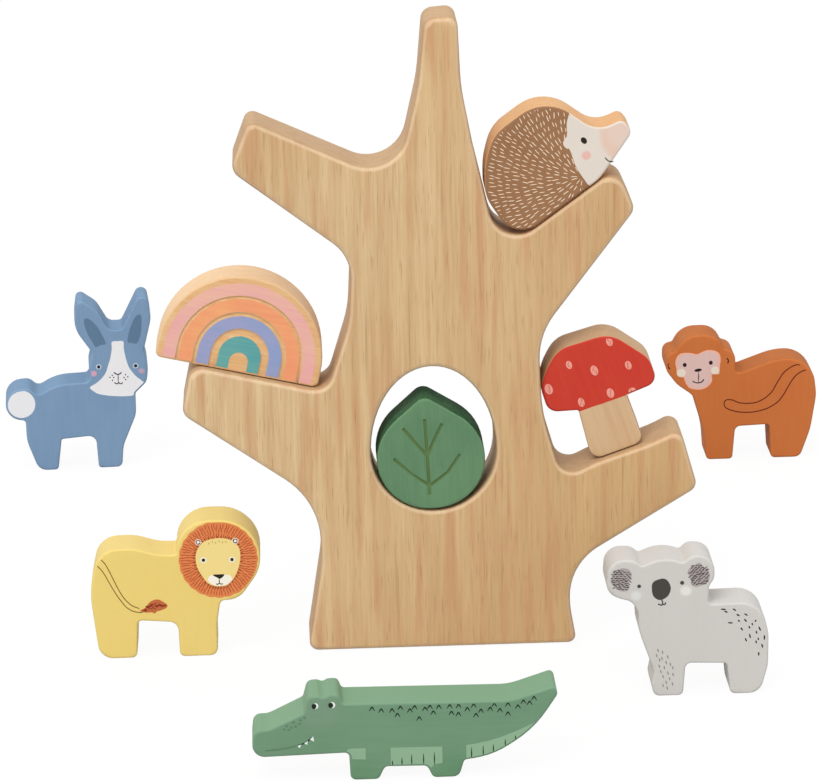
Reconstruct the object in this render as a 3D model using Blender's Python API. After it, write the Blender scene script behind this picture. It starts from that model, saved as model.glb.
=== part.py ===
"""Balancing tree game: a wooden tree board and nine wooden blocks that are stacked in its crooks.

The tree stands on the floor with its trunk's base around the origin and its front towards -Y.
Every piece is sawn from one board, so each is an outline in its own X-Z plane with a thickness
along Y and a rounded rim. Units are metres and +Z is up.
"""
import math

import bmesh
import bpy
import numpy
from mathutils import Matrix, Vector

# Tree board
TREE_WIDTH = 0.198
TREE_HEIGHT = 0.251
TREE_THICKNESS = 0.025
TREE_RIM_RADIUS = 0.002

# Opening through the trunk, an egg with its narrow end up
HOLLOW_WIDTH = 0.0485
HOLLOW_UPPER_HEIGHT = 0.0338
HOLLOW_LOWER_HEIGHT = 0.0243
HOLLOW_CENTRE_X = -0.0037
HOLLOW_CENTRE_Z = 0.081

# Boards that the blocks are sawn from
BLOCK_THICKNESS = 0.018
BLOCK_RIM_RADIUS = 0.0009

# Play between a block and what it rests on
SEAT_GAP = 0.00035

RAINBOW_RADIUS = 0.0319
RAINBOW_LEG = 0.0064
RAINBOW_GROOVE_RADII = (0.0237, 0.01695, 0.0097)
RAINBOW_GROOVE_WIDTHS = (0.0011, 0.0015, 0.0030)
RAINBOW_GROOVE_DEPTH = 0.0005
RAINBOW_FOOT_RADIUS = 0.0025

HEDGEHOG_WIDTH = 0.0605
HEDGEHOG_HEIGHT = 0.0384

MUSHROOM_WIDTH = 0.0440
MUSHROOM_HEIGHT = 0.0463

LEAF_WIDTH = 0.0420
LEAF_HEIGHT = 0.0459
LEAF_VEIN_WIDTH = 0.0013
LEAF_VEIN_DEPTH = 0.0005
LEAF_LEAN = math.radians(3)

RABBIT_WIDTH = 0.0644
RABBIT_HEIGHT = 0.0785
RABBIT_PLACE = (-0.1547, 0.2398)
RABBIT_TURN = math.radians(3)

MONKEY_WIDTH = 0.0671
MONKEY_HEIGHT = 0.0580
MONKEY_PLACE = (0.1486, 0.2262)

LION_WIDTH = 0.0657
LION_HEIGHT = 0.0560
LION_PLACE = (-0.1124, -0.0048)

KOALA_WIDTH = 0.0621
KOALA_HEIGHT = 0.0554
KOALA_PLACE = (0.0953, -0.0633)

CROCODILE_WIDTH = 0.1095
CROCODILE_HEIGHT = 0.0354
CROCODILE_PLACE = (-0.0213, -0.1369)

# Saw cuts and drawn curves
CURVE_SAG = 0.00004
LEAST_STEP = 0.00035
WIDEST_ARC_STEP = math.radians(30)
RIM_STEPS = 2
CUT_OVERRUN = 0.002
SLIDE_HALVINGS = 14
TOUCH_SHARE = 0.98
SMOOTH_ANGLE = math.radians(55)

# Outline corners: x as a share of the width, z and the fillet as shares of the height.
# Corners run anticlockwise as seen from the front.
TREE_CORNER_SHARES = {
    "base_left": (-0.274, 0.000, 0.014),
    "base_right": (0.260, 0.000, 0.012),
    "root_right": (0.247, 0.060, 0.150),
    "mushroom_armpit": (0.246, 0.129, 0.094),
    "mushroom_branch_under": (0.500, 0.250, 0.017),
    "mushroom_branch_tip": (0.465, 0.3485, 0.021),
    "mushroom_seat_end": (0.420, 0.3289, 0.300),
    "mushroom_seat": (0.293, 0.294, 0.080),
    "mushroom_crook": (0.2335, 0.271, 0.026),
    "trunk_right": (0.1945, 0.378, 0.300),
    "hedgehog_armpit": (0.1895, 0.502, 0.115),
    "hedgehog_branch_under": (0.378, 0.697, 0.020),
    "hedgehog_branch_tip": (0.3415, 0.7638, 0.026),
    "hedgehog_crook": (0.116, 0.6333, 0.042),
    "spike_root_right": (0.0665, 0.805, 0.300),
    "spike_right": (0.0455, 0.895, 0.300),
    "spike_tip_right": (0.0405, 1.003, 0.016),
    "spike_tip_left": (-0.0235, 0.999, 0.018),
    "spike_left": (-0.0355, 0.900, 0.240),
    "left_crook": (-0.081, 0.749, 0.060),
    "left_branch_tip": (-0.363, 0.851, 0.014),
    "left_branch_under": (-0.400, 0.774, 0.024),
    "left_armpit": (-0.171, 0.635, 0.064),
    "trunk_left": (-0.178, 0.533, 0.180),
    "rainbow_crook": (-0.2235, 0.4210, 0.028),
    "rainbow_branch_tip": (-0.487, 0.4692, 0.022),
    "rainbow_branch_under": (-0.508, 0.392, 0.020),
    "rainbow_armpit": (-0.2465, 0.246, 0.125),
    "root_left": (-0.2425, 0.150, 0.120),
}

HEDGEHOG_CORNER_SHARES = (
    (-0.149, 0.000, 0.260),
    (0.512, 0.000, 0.390),
    (0.855, 0.186, 0.100),
    (0.850, 0.350, 0.070),
    (0.678, 0.405, 0.270),
    (0.553, 1.000, 0.417),
    (0.150, 1.006, 0.420),
    (-0.013, 0.804, 0.800),
    (-0.131, 0.552, 0.391),
)

MUSHROOM_CORNER_SHARES = (
    (-0.250, 0.000, 0.095),
    (0.241, 0.000, 0.085),
    (0.237, 0.4350, 0.021),
    (0.532, 0.449, 0.095),
    (0.537, 0.672, 0.212),
    (0.289, 0.9950, 0.254),
    (-0.192, 1.0180, 0.240),
    (-0.345, 0.889, 0.500),
    (-0.451, 0.757, 0.191),
    (-0.460, 0.5275, 0.106),
    (-0.206, 0.4555, 0.021),
)

LEAF_CORNER_SHARES = (
    (-0.500, 0.000, 0.455),
    (0.500, 0.000, 0.455),
    (0.500, 0.672, 0.480),
    (-0.031, 1.005, 0.100),
    (-0.500, 0.660, 0.470),
)

# Leaf veins from the midrib outwards, in the same shares
LEAF_VEIN_SHARES = (
    ((-0.036, 0.129), (-0.031, 0.473), (-0.033, 0.800)),
    ((-0.031, 0.473), (-0.120, 0.580), (-0.238, 0.732)),
    ((-0.031, 0.473), (0.040, 0.606), (0.126, 0.749)),
    ((-0.030, 0.209), (-0.190, 0.320), (-0.343, 0.471)),
    ((-0.030, 0.209), (0.145, 0.314), (0.271, 0.468)),
)

RABBIT_CORNER_SHARES = (
    (-0.276, 0.000, 0.064),
    (-0.142, 0.000, 0.020),
    (-0.111, 0.181, 0.013),
    (0.129, 0.195, 0.045),
    (0.140, 0.000, 0.019),
    (0.304, 0.000, 0.033),
    (0.318, 0.127, 0.150),
    (0.415, 0.312, 0.150),
    (0.416, 0.439, 0.020),
    (0.496, 0.501, 0.060),
    (0.514, 0.599, 0.250),
    (0.485, 0.690, 0.050),
    (0.544, 0.880, 0.150),
    (0.507, 1.088, 0.036),
    (0.338, 0.819, 0.028),
    (0.249, 0.819, 0.050),
    (0.170, 0.938, 0.130),
    (0.036, 1.016, 0.028),
    (0.004, 0.841, 0.180),
    (0.127, 0.688, 0.032),
    (0.099, 0.611, 0.100),
    (0.103, 0.516, 0.030),
    (-0.143, 0.509, 0.300),
    (-0.262, 0.444, 0.050),
    (-0.315, 0.495, 0.064),
    (-0.487, 0.484, 0.095),
    (-0.488, 0.312, 0.095),
    (-0.355, 0.302, 0.018),
    (-0.352, 0.178, 0.200),
)

MONKEY_CORNER_SHARES = (
    (-0.308, 0.000, 0.034),
    (-0.133, 0.000, 0.028),
    (-0.114, 0.262, 0.045),
    (0.112, 0.272, 0.024),
    (0.126, 0.000, 0.034),
    (0.322, 0.000, 0.062),
    (0.391, 0.224, 0.520),
    (0.429, 0.500, 0.310),
    (0.399, 0.799, 0.215),
    (0.162, 0.798, 0.500),
    (-0.111, 0.684, 0.030),
    (-0.119, 0.876, 0.085),
    (-0.190, 0.891, 0.022),
    (-0.242, 1.005, 0.140),
    (-0.460, 1.004, 0.170),
    (-0.513, 0.882, 0.026),
    (-0.580, 0.862, 0.060),
    (-0.583, 0.735, 0.140),
    (-0.506, 0.614, 0.200),
    (-0.398, 0.522, 0.090),
    (-0.322, 0.224, 0.600),
)

LION_CORNER_SHARES = (
    (-0.356, 0.000, 0.105),
    (-0.135, 0.000, 0.040),
    (-0.122, 0.276, 0.029),
    (0.115, 0.253, 0.065),
    (0.120, 0.000, 0.036),
    (0.347, 0.000, 0.054),
    (0.346, 0.230, 0.360),
    (0.371, 0.407, 0.040),
    (0.479, 0.407, 0.150),
    (0.615, 0.629, 0.300),
    (0.616, 1.000, 0.292),
    (0.123, 1.000, 0.292),
    (0.119, 0.755, 0.027),
    (0.012, 0.757, 0.360),
    (-0.132, 0.811, 0.360),
    (-0.340, 0.804, 0.162),
    (-0.403, 0.505, 0.720),
)

KOALA_CORNER_SHARES = (
    (-0.312, 0.000, 0.047),
    (-0.135, 0.000, 0.036),
    (-0.118, 0.235, 0.043),
    (0.133, 0.224, 0.027),
    (0.155, 0.000, 0.040),
    (0.336, 0.000, 0.095),
    (0.386, 0.199, 0.250),
    (0.388, 0.433, 0.290),
    (0.338, 0.665, 0.170),
    (0.021, 0.657, 0.027),
    (0.023, 0.785, 0.054),
    (0.056, 0.839, 0.090),
    (0.057, 1.005, 0.110),
    (-0.089, 1.010, 0.072),
    (-0.134, 0.960, 0.036),
    (-0.249, 1.014, 0.325),
    (-0.384, 0.944, 0.032),
    (-0.432, 0.989, 0.080),
    (-0.588, 0.996, 0.112),
    (-0.604, 0.763, 0.108),
    (-0.519, 0.711, 0.250),
    (-0.445, 0.693, 0.090),
    (-0.407, 0.612, 0.045),
    (-0.405, 0.480, 0.360),
    (-0.310, 0.177, 0.072),
    (-0.327, 0.090, 0.072),
)

CROCODILE_CORNER_SHARES = (
    (-0.179, 0.000, 0.060),
    (-0.086, 0.000, 0.056),
    (-0.065, 0.136, 0.056),
    (0.074, 0.130, 0.056),
    (0.093, 0.000, 0.056),
    (0.179, 0.000, 0.085),
    (0.196, 0.181, 0.042),
    (0.290, 0.220, 0.850),
    (0.428, 0.495, 1.130),
    (0.507, 0.868, 0.070),
    (0.497, 0.962, 0.045),
    (0.352, 0.816, 0.560),
    (-0.200, 0.834, 0.042),
    (-0.213, 0.940, 0.056),
    (-0.247, 0.936, 0.056),
    (-0.263, 0.905, 0.050),
    (-0.280, 0.930, 0.056),
    (-0.313, 0.925, 0.070),
    (-0.328, 0.752, 0.050),
    (-0.446, 0.575, 0.200),
    (-0.493, 0.578, 0.085),
    (-0.504, 0.275, 0.127),
    (-0.181, 0.299, 0.051),
)

WOOD_COLOUR = (0.60, 0.43, 0.26, 1.0)


def corner_points(corner_shares, width, height):
    """Turn shares into outline corners with their fillet radii."""
    corners = [Vector((x_share * width, z_share * height)) for x_share, z_share, _ in corner_shares]
    radii = [radius_share * height for _, _, radius_share in corner_shares]
    return corners, radii


def arc_step_count(turn, radius):
    """How many straight steps an arc takes to stay within the sag of its true curve."""
    step = 2 * math.acos(1 - min(1, CURVE_SAG / radius)) if radius else WIDEST_ARC_STEP
    return max(1, math.ceil(abs(turn) / min(step, WIDEST_ARC_STEP)))


def rounded_outline(corners, radii):
    """Round each corner of a closed polygon with a tangent arc that its two sides have room for."""
    count = len(corners)
    turns = []
    tangents = []
    for index, corner in enumerate(corners):
        arriving = (corner - corners[index - 1]).normalized()
        leaving = (corners[(index + 1) % count] - corner).normalized()
        turn = math.atan2(arriving.cross(leaving), arriving.dot(leaving))
        turns.append(turn)
        tangents.append(radii[index] * math.tan(abs(turn) / 2))

    points = []
    for index, corner in enumerate(corners):
        before, after = index - 1, (index + 1) % count
        room_before = (corner - corners[before]).length / (tangents[before] + tangents[index])
        room_after = (corners[after] - corner).length / (tangents[index] + tangents[after])
        room = min(1, room_before, room_after)
        arriving = (corner - corners[before]).normalized()
        turn = turns[index]
        radius = radii[index] * room
        start = corner - arriving * tangents[index] * room
        centre = start + Vector((-arriving.y, arriving.x)) * math.copysign(radius, turn)
        steps = arc_step_count(turn, radius)
        for step in range(steps + 1):
            point = centre + Matrix.Rotation(turn * step / steps, 2) @ (start - centre)
            if not points or (point - points[-1]).length > LEAST_STEP:
                points.append(point)
    if (points[0] - points[-1]).length < LEAST_STEP:
        points.pop()
    return points


def egg_outline(centre, width, lower_height, upper_height):
    """A closed oval whose upper half may be taller than its lower half, run clockwise."""
    steps = arc_step_count(2 * math.pi, width / 2)
    points = []
    for step in range(steps):
        angle = -2 * math.pi * step / steps
        height = upper_height if math.sin(angle) > 0 else lower_height
        points.append(centre + Vector((math.cos(angle) * width / 2, math.sin(angle) * height)))
    return points


def arch_outline(outer_radius, inner_radius, leg, drop):
    """A closed arch band: two half circles on straight legs that reach down to -drop."""
    steps = arc_step_count(math.pi, outer_radius)
    arc = [Vector((math.cos(math.pi * step / steps), math.sin(math.pi * step / steps)))
           for step in range(steps + 1)]
    shoulder = Vector((0, leg))
    outer = [shoulder + spoke * outer_radius for spoke in arc]
    inner = [shoulder + spoke * inner_radius for spoke in arc]
    feet_left = [Vector((-outer_radius, -drop)), Vector((-inner_radius, -drop))]
    feet_right = [Vector((inner_radius, -drop)), Vector((outer_radius, -drop))]
    return outer + feet_left + inner[::-1] + feet_right


def ribbon_outline(path, width):
    """A closed band of even width along a drawn path."""
    left, right = [], []
    for index, point in enumerate(path):
        along = (path[min(index + 1, len(path) - 1)] - path[max(index - 1, 0)]).normalized()
        aside = Vector((-along.y, along.x)) * width / 2
        left.append(point + aside)
        right.append(point - aside)
    return left + right[::-1]


def inset_outline(points, inset):
    """Move a closed outline to its left, into the wood, by the same distance all along."""
    moved = []
    for index, point in enumerate(points):
        arriving = (point - points[index - 1]).normalized()
        leaving = (points[(index + 1) % len(points)] - point).normalized()
        mitre = Vector((-arriving.y - leaving.y, arriving.x + leaving.x))
        moved.append(point + mitre * inset / (1 + arriving.dot(leaving)))
    return moved


def stack_outlines(mesh, loops, profile):
    """Build a closed body from outlines drawn at each (inset, y) of a profile, front to back."""
    front_edges, back_edges = [], []
    for loop in loops:
        rings = [[mesh.verts.new((point.x, y, point.y)) for point in inset_outline(loop, inset)]
                 for inset, y in profile]
        for near, far in zip(rings, rings[1:]):
            for index in range(len(loop)):
                mesh.faces.new((near[index - 1], near[index], far[index], far[index - 1]))
        for index in range(len(loop)):
            front_edges.append(mesh.edges.get((rings[0][index - 1], rings[0][index])))
            back_edges.append(mesh.edges.get((rings[-1][index - 1], rings[-1][index])))
    for rim_edges in (front_edges, back_edges):
        bmesh.ops.triangle_fill(mesh, edges=rim_edges, use_beauty=True, use_dissolve=False)


def rounded_profile(thickness, rim_radius):
    """Insets and places along Y from a board's front face round both rims to its back face."""
    front = []
    for step in range(RIM_STEPS + 1):
        angle = math.pi / 2 * step / RIM_STEPS
        front.append((rim_radius * (1 - math.sin(angle)),
                      rim_radius * (1 - math.cos(angle)) - thickness / 2))
    return front + [(inset, -y) for inset, y in reversed(front)]


def new_object(name, mesh):
    """Link a finished bmesh to the scene as one named object."""
    bmesh.ops.recalc_face_normals(mesh, faces=mesh.faces)
    data = bpy.data.meshes.new(name)
    mesh.to_mesh(data)
    mesh.free()
    piece = bpy.data.objects.new(name, data)
    bpy.context.scene.collection.objects.link(piece)
    return piece


def finish_piece(piece, colour, roughness):
    """Give a piece its own paint or bare wood, and smooth shading."""
    material = bpy.data.materials.new(piece.name)
    material.use_nodes = True
    shader = material.node_tree.nodes["Principled BSDF"]
    shader.inputs["Base Color"].default_value = colour
    shader.inputs["Roughness"].default_value = roughness
    shader.inputs["Metallic"].default_value = 0
    piece.data.materials.append(material)
    piece.data.shade_smooth()
    piece.data.set_sharp_from_angle(angle=SMOOTH_ANGLE)


def sawn_piece(name, loops, thickness, rim_radius, colour, roughness):
    """Saw a piece from a board and round over its two rims."""
    mesh = bmesh.new()
    stack_outlines(mesh, loops, rounded_profile(thickness, rim_radius))
    piece = new_object(name, mesh)
    finish_piece(piece, colour, roughness)
    return piece


def carve_faces(piece, name, bands, depth):
    """Cut bands of an even depth into the front and the back of a block."""
    grooves = bmesh.new()
    for band in bands:
        for side in (-1, 1):
            floor = side * (BLOCK_THICKNESS / 2 - depth)
            stack_outlines(grooves, [band], [(0, floor), (0, floor + side * (depth + CUT_OVERRUN))])
    cut_away(piece, new_object(name, grooves))


def cut_away(piece, cutter):
    """Carve a cutter out of a piece and keep the cutter out of the model."""
    cutter.hide_render = True
    cutter.display_type = "WIRE"
    cutter.parent = piece
    carving = piece.modifiers.new(cutter.name, "BOOLEAN")
    carving.operation = "DIFFERENCE"
    carving.solver = "EXACT"
    carving.use_self = True
    carving.object = cutter


def tree_corner(name):
    """World place of a named corner of the tree's outline, before its fillet."""
    x_share, z_share, _ = TREE_CORNER_SHARES[name]
    return Vector((x_share * TREE_WIDTH, z_share * TREE_HEIGHT))


def tree_outline():
    """The tree's sawn outline, without the hollow."""
    return rounded_outline(*corner_points(TREE_CORNER_SHARES.values(), TREE_WIDTH, TREE_HEIGHT))


def least_distance(points, outline):
    """The least distance from some points to the sides of a closed outline."""
    spots = numpy.array(points)[:, None]
    starts = numpy.array(outline)
    sides = numpy.roll(starts, -1, axis=0) - starts
    reach = ((spots - starts) * sides).sum(axis=2) / (sides * sides).sum(axis=1)
    nearest = starts + reach.clip(0, 1)[..., None] * sides
    return numpy.linalg.norm(spots - nearest, axis=2).min()


def stand_on_branch(piece, outline, inner_name, outer_name):
    """Stand a block on the straight top of a branch and slide it in until it meets the trunk."""
    inner, outer = tree_corner(inner_name), tree_corner(outer_name)
    along = outer - inner
    right = along.normalized() if along.x > 0 else -along.normalized()
    up = Vector((-right.y, right.x))
    tilt = math.atan2(right.y, right.x)
    tree = tree_outline()

    near, far = 0, 1
    for _ in range(SLIDE_HALVINGS):
        middle = (near + far) / 2
        foot = inner + along * middle + up * SEAT_GAP
        placed = [foot + Matrix.Rotation(tilt, 2) @ point for point in outline]
        apart = min(least_distance(placed, tree), least_distance(tree, placed))
        if apart < SEAT_GAP * TOUCH_SHARE:
            near = middle
        else:
            far = middle
    foot = inner + along * far + up * SEAT_GAP
    piece.location = (foot.x, 0, foot.y)
    piece.rotation_euler.y = -tilt


def make_tree():
    outline = tree_outline()
    hollow = egg_outline(Vector((HOLLOW_CENTRE_X, HOLLOW_CENTRE_Z)), HOLLOW_WIDTH,
                         HOLLOW_LOWER_HEIGHT, HOLLOW_UPPER_HEIGHT)
    return sawn_piece("tree", [outline, hollow], TREE_THICKNESS, TREE_RIM_RADIUS, WOOD_COLOUR, 0.5)


def make_rainbow():
    """An arch block with grooves between its colours, on the lower left branch."""
    half_width = RAINBOW_RADIUS
    top = RAINBOW_LEG + RAINBOW_RADIUS
    corners = [Vector((-half_width, 0)), Vector((half_width, 0)),
               Vector((half_width, top)), Vector((-half_width, top))]
    radii = [RAINBOW_FOOT_RADIUS, RAINBOW_FOOT_RADIUS, RAINBOW_RADIUS, RAINBOW_RADIUS]
    outline = rounded_outline(corners, radii)
    rainbow = sawn_piece("rainbow", [outline], BLOCK_THICKNESS, BLOCK_RIM_RADIUS,
                         (0.80, 0.45, 0.35, 1.0), 0.45)
    bands = [arch_outline(radius + width / 2, radius - width / 2, RAINBOW_LEG, CUT_OVERRUN)
             for radius, width in zip(RAINBOW_GROOVE_RADII, RAINBOW_GROOVE_WIDTHS)]
    carve_faces(rainbow, "rainbow grooves", bands, RAINBOW_GROOVE_DEPTH)
    stand_on_branch(rainbow, outline, "rainbow_crook", "rainbow_branch_tip")
    return rainbow


def make_mushroom():
    outline = rounded_outline(*corner_points(MUSHROOM_CORNER_SHARES, MUSHROOM_WIDTH, MUSHROOM_HEIGHT))
    mushroom = sawn_piece("mushroom", [outline], BLOCK_THICKNESS, BLOCK_RIM_RADIUS,
                          (0.55, 0.06, 0.03, 1.0), 0.45)
    stand_on_branch(mushroom, outline, "mushroom_seat", "mushroom_seat_end")
    return mushroom


def make_hedgehog():
    """A round-backed block in the right crook, with its face flush with the tree's face."""
    outline = rounded_outline(*corner_points(HEDGEHOG_CORNER_SHARES, HEDGEHOG_WIDTH, HEDGEHOG_HEIGHT))
    hedgehog = sawn_piece("hedgehog", [outline], BLOCK_THICKNESS, BLOCK_RIM_RADIUS,
                          (0.33, 0.16, 0.08, 1.0), 0.5)
    stand_on_branch(hedgehog, outline, "hedgehog_crook", "hedgehog_branch_tip")
    hedgehog.location.y = (BLOCK_THICKNESS - TREE_THICKNESS) / 2
    return hedgehog


def make_leaf():
    """A leaf block with engraved veins, lowered into the trunk's opening until it touches."""
    outline = rounded_outline(*corner_points(LEAF_CORNER_SHARES, LEAF_WIDTH, LEAF_HEIGHT))
    leaf = sawn_piece("leaf", [outline], BLOCK_THICKNESS, BLOCK_RIM_RADIUS,
                      (0.12, 0.24, 0.13, 1.0), 0.45)
    veins = [ribbon_outline([Vector((x_share * LEAF_WIDTH, z_share * LEAF_HEIGHT))
                             for x_share, z_share in vein_shares], LEAF_VEIN_WIDTH)
             for vein_shares in LEAF_VEIN_SHARES]
    carve_faces(leaf, "leaf veins", veins, LEAF_VEIN_DEPTH)

    lean = Matrix.Rotation(LEAF_LEAN, 2)
    drops = []
    for point in outline:
        placed = lean @ point
        reach = placed.x / (HOLLOW_WIDTH / 2)
        if abs(reach) < 1:
            floor = -HOLLOW_LOWER_HEIGHT * math.sqrt(1 - reach * reach)
            drops.append(placed.y - floor)
    leaf.rotation_euler.y = -LEAF_LEAN
    leaf.location = (HOLLOW_CENTRE_X, (BLOCK_THICKNESS - TREE_THICKNESS) / 2,
                     HOLLOW_CENTRE_Z - min(drops) + SEAT_GAP)
    return leaf


def make_animal(name, corner_shares, width, height, place, colour, turn=0):
    """An animal block that stands by itself on the floor."""
    outline = rounded_outline(*corner_points(corner_shares, width, height))
    animal = sawn_piece(name, [outline], BLOCK_THICKNESS, BLOCK_RIM_RADIUS, colour, 0.45)
    animal.location = (place[0], place[1], 0)
    animal.rotation_euler.z = turn
    return animal


for old in list(bpy.data.objects):
    bpy.data.objects.remove(old, do_unlink=True)

make_tree()
make_rainbow()
make_hedgehog()
make_mushroom()
make_leaf()
make_animal("rabbit", RABBIT_CORNER_SHARES, RABBIT_WIDTH, RABBIT_HEIGHT, RABBIT_PLACE,
            (0.19, 0.31, 0.46, 1.0), RABBIT_TURN)
make_animal("monkey", MONKEY_CORNER_SHARES, MONKEY_WIDTH, MONKEY_HEIGHT, MONKEY_PLACE,
            (0.56, 0.17, 0.05, 1.0))
make_animal("lion", LION_CORNER_SHARES, LION_WIDTH, LION_HEIGHT, LION_PLACE,
            (0.80, 0.61, 0.19, 1.0))
make_animal("koala", KOALA_CORNER_SHARES, KOALA_WIDTH, KOALA_HEIGHT, KOALA_PLACE,
            (0.60, 0.57, 0.54, 1.0))
make_animal("crocodile", CROCODILE_CORNER_SHARES, CROCODILE_WIDTH, CROCODILE_HEIGHT,
            CROCODILE_PLACE, (0.15, 0.28, 0.17, 1.0))
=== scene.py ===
import math
import random

import bpy
from mathutils import Matrix, Vector
from mathutils.geometry import delaunay_2d_cdt


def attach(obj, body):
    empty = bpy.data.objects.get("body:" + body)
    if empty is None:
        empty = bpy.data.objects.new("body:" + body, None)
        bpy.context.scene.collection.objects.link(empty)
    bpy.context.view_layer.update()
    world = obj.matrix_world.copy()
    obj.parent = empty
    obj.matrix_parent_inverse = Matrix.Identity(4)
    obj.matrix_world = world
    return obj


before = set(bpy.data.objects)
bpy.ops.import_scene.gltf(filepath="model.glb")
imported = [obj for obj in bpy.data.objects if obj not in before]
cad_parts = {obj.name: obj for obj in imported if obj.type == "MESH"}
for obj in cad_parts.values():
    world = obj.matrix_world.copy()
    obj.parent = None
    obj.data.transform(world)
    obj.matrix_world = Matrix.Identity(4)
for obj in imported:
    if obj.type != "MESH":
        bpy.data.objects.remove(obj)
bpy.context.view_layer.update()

# ---------------------------------------------------------------------------
# The tree is one board of pale rubberwood, 25 mm thick, sawn to shape with the
# grain up the trunk. It is sanded and oiled. A paler band along its rounded edges is a
# painted highlight, its sides and end-grain tops are darker in part as painted shade, and it is painted darker
# towards its lower right as shade.


def linear(red, green, blue):
    """A colour as it looks, 0 to 255, turned into a shader socket's numbers by the sRGB curve."""
    return tuple(((v / 255 + 0.055) / 1.055) ** 2.4 if v > 10 else v / 3294.6 for v in (red, green, blue)) + (1.0,)


def add(tree, kind, settings=None, **sockets):
    """One shader node, its sockets fed with values or with other nodes' outputs.

    A socket goes by its name, or by its number: i0 is the first.
    """
    node = tree.nodes.new("ShaderNode" + kind)
    for key, value in (settings or {}).items():
        setattr(node, key, value)
    for key, value in sockets.items():
        by_number = key[0] == "i" and key[1:].isdigit()
        socket = node.inputs[int(key[1:]) if by_number else key.replace("_", " ")]
        if isinstance(value, bpy.types.NodeSocket):
            tree.links.new(value, socket)
        else:
            socket.default_value = value
    return node.outputs


def maths(tree, how, a, b=0.0, c=0.0, clamp=False):
    return add(tree, "Math", {"operation": how, "use_clamp": clamp}, i0=a, i1=b, i2=c)[0]


def scaled(tree, vector, size):
    return add(tree, "VectorMath", {"operation": "MULTIPLY"}, i0=vector, i1=size)[0]


def noise(tree, place, stretch, scale, **more):
    """Noise in streaks along the grain: they are longer the smaller stretch is."""
    return add(tree, "TexNoise", Vector=scaled(tree, place, (1, 1, stretch)), Scale=scale, **more)[0]


def spread(tree, value, low, high, to_low=0.0, to_high=1.0):
    """A value's range from low to high turned into another range, and held at its ends."""
    return add(tree, "MapRange", Value=value, From_Min=low, From_Max=high, To_Min=to_low, To_Max=to_high)[0]


def blended(tree, share, a, b):
    """Colour b laid over colour a by a mask."""
    node = tree.nodes.new("ShaderNodeMix")
    node.data_type, node.clamp_factor = "RGBA", True
    for socket, value in ((node.inputs[0], share), (node.inputs[6], a), (node.inputs[7], b)):
        if isinstance(value, bpy.types.NodeSocket):
            tree.links.new(value, socket)
        else:
            socket.default_value = value
    return node.outputs[2]


def open_group(name, takes, gives):
    """An empty shader node group with named sockets."""
    group = bpy.data.node_groups.new(name, "ShaderNodeTree")
    for label, kind, value in takes:
        socket = group.interface.new_socket(label, in_out="INPUT", socket_type="NodeSocket" + kind)
        socket.default_value = value
    for label, kind in gives:
        group.interface.new_socket(label, in_out="OUTPUT", socket_type="NodeSocket" + kind)
    return group, group.nodes.new("NodeGroupInput").outputs, group.nodes.new("NodeGroupOutput").inputs


# Sawn wood as a solid: growth rings about a pith behind the board, long
# fibres, short dark pores and reddish streaks. Place runs along the grain in Z.
pith = (0.034, 0.085, 0)      # where the middle of the trunk lay, behind the board
ring_turns = 1150.0           # radians to the metre: a growth ring every 5.5 mm
timber, take, give = open_group(
    "timber",
    (("Place", "Vector", (0, 0, 0)), ("Facing", "Vector", (0, 0, 0)), ("Pale", "Color", linear(222, 190, 144)),
     ("Deep", "Color", linear(197, 156, 108)), ("Streak", "Color", linear(204, 150, 108)),
     ("Pore", "Color", linear(152, 106, 66)), ("Edge", "Color", linear(182, 150, 117)),
     ("Figure", "Float", 1.0), ("Pores", "Float", 0.38)),
    (("Colour", "Color"), ("Height", "Float"), ("Fibre", "Float")))
sway = noise(timber, take["Place"], 0.22, 22.0, Detail=2.0)
across = scaled(timber, take["Place"], (1, 1, 0.03))
across = add(timber, "VectorMath", {"operation": "SUBTRACT"}, i0=across, i1=pith)[0]
from_pith = add(timber, "VectorMath", {"operation": "LENGTH"}, i0=across)[1]
from_pith = maths(timber, "MULTIPLY_ADD", sway, 0.020, from_pith)
rings = maths(timber, "SINE", maths(timber, "MULTIPLY", from_pith, ring_turns))
fibre = noise(timber, take["Place"], 0.030, 1150.0, Detail=3.0, Roughness=0.6)
pores = noise(timber, take["Place"], 0.040, 2000.0, Detail=1.0)
vessels = noise(timber, take["Place"], 0.022, 900.0, Detail=2.0)
drift = noise(timber, take["Place"], 0.070, 230.0, Detail=3.0)
cloud = noise(timber, take["Place"], 0.45, 13.0, Detail=2.0)
pore_mask = maths(timber, "MAXIMUM", spread(timber, pores, 0.62, 0.72), spread(timber, vessels, 0.62, 0.74, 0.0, 0.9))
pore_mask = maths(timber, "MULTIPLY", pore_mask, take["Pores"])
figure = maths(timber, "ADD", spread(timber, rings, -1.0, 1.0, 0.0, 0.24),
               spread(timber, fibre, 0.30, 0.70, 0.0, 0.40))
figure = maths(timber, "MULTIPLY", figure, take["Figure"])
figure = maths(timber, "ADD", figure, spread(timber, cloud, 0.35, 0.68, -0.10, 0.30))
tone = blended(timber, figure, take["Pale"], take["Deep"])
tone = blended(timber, spread(timber, drift, 0.50, 0.70, 0.0, 0.70), tone, take["Streak"])
tone = blended(timber, pore_mask, tone, take["Pore"])
face_on = maths(timber, "ABSOLUTE", add(timber, "SeparateXYZ", i0=take["Facing"])[1])
# a paler band along the rounded rims: a painted highlight
painted_rim_highlight = spread(timber, face_on, 0.50, 0.75, 0.0, 0.40)
painted_rim_highlight = maths(timber, "MULTIPLY", painted_rim_highlight, spread(timber, face_on, 0.90, 0.99, 1.0, 0.0))
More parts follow.
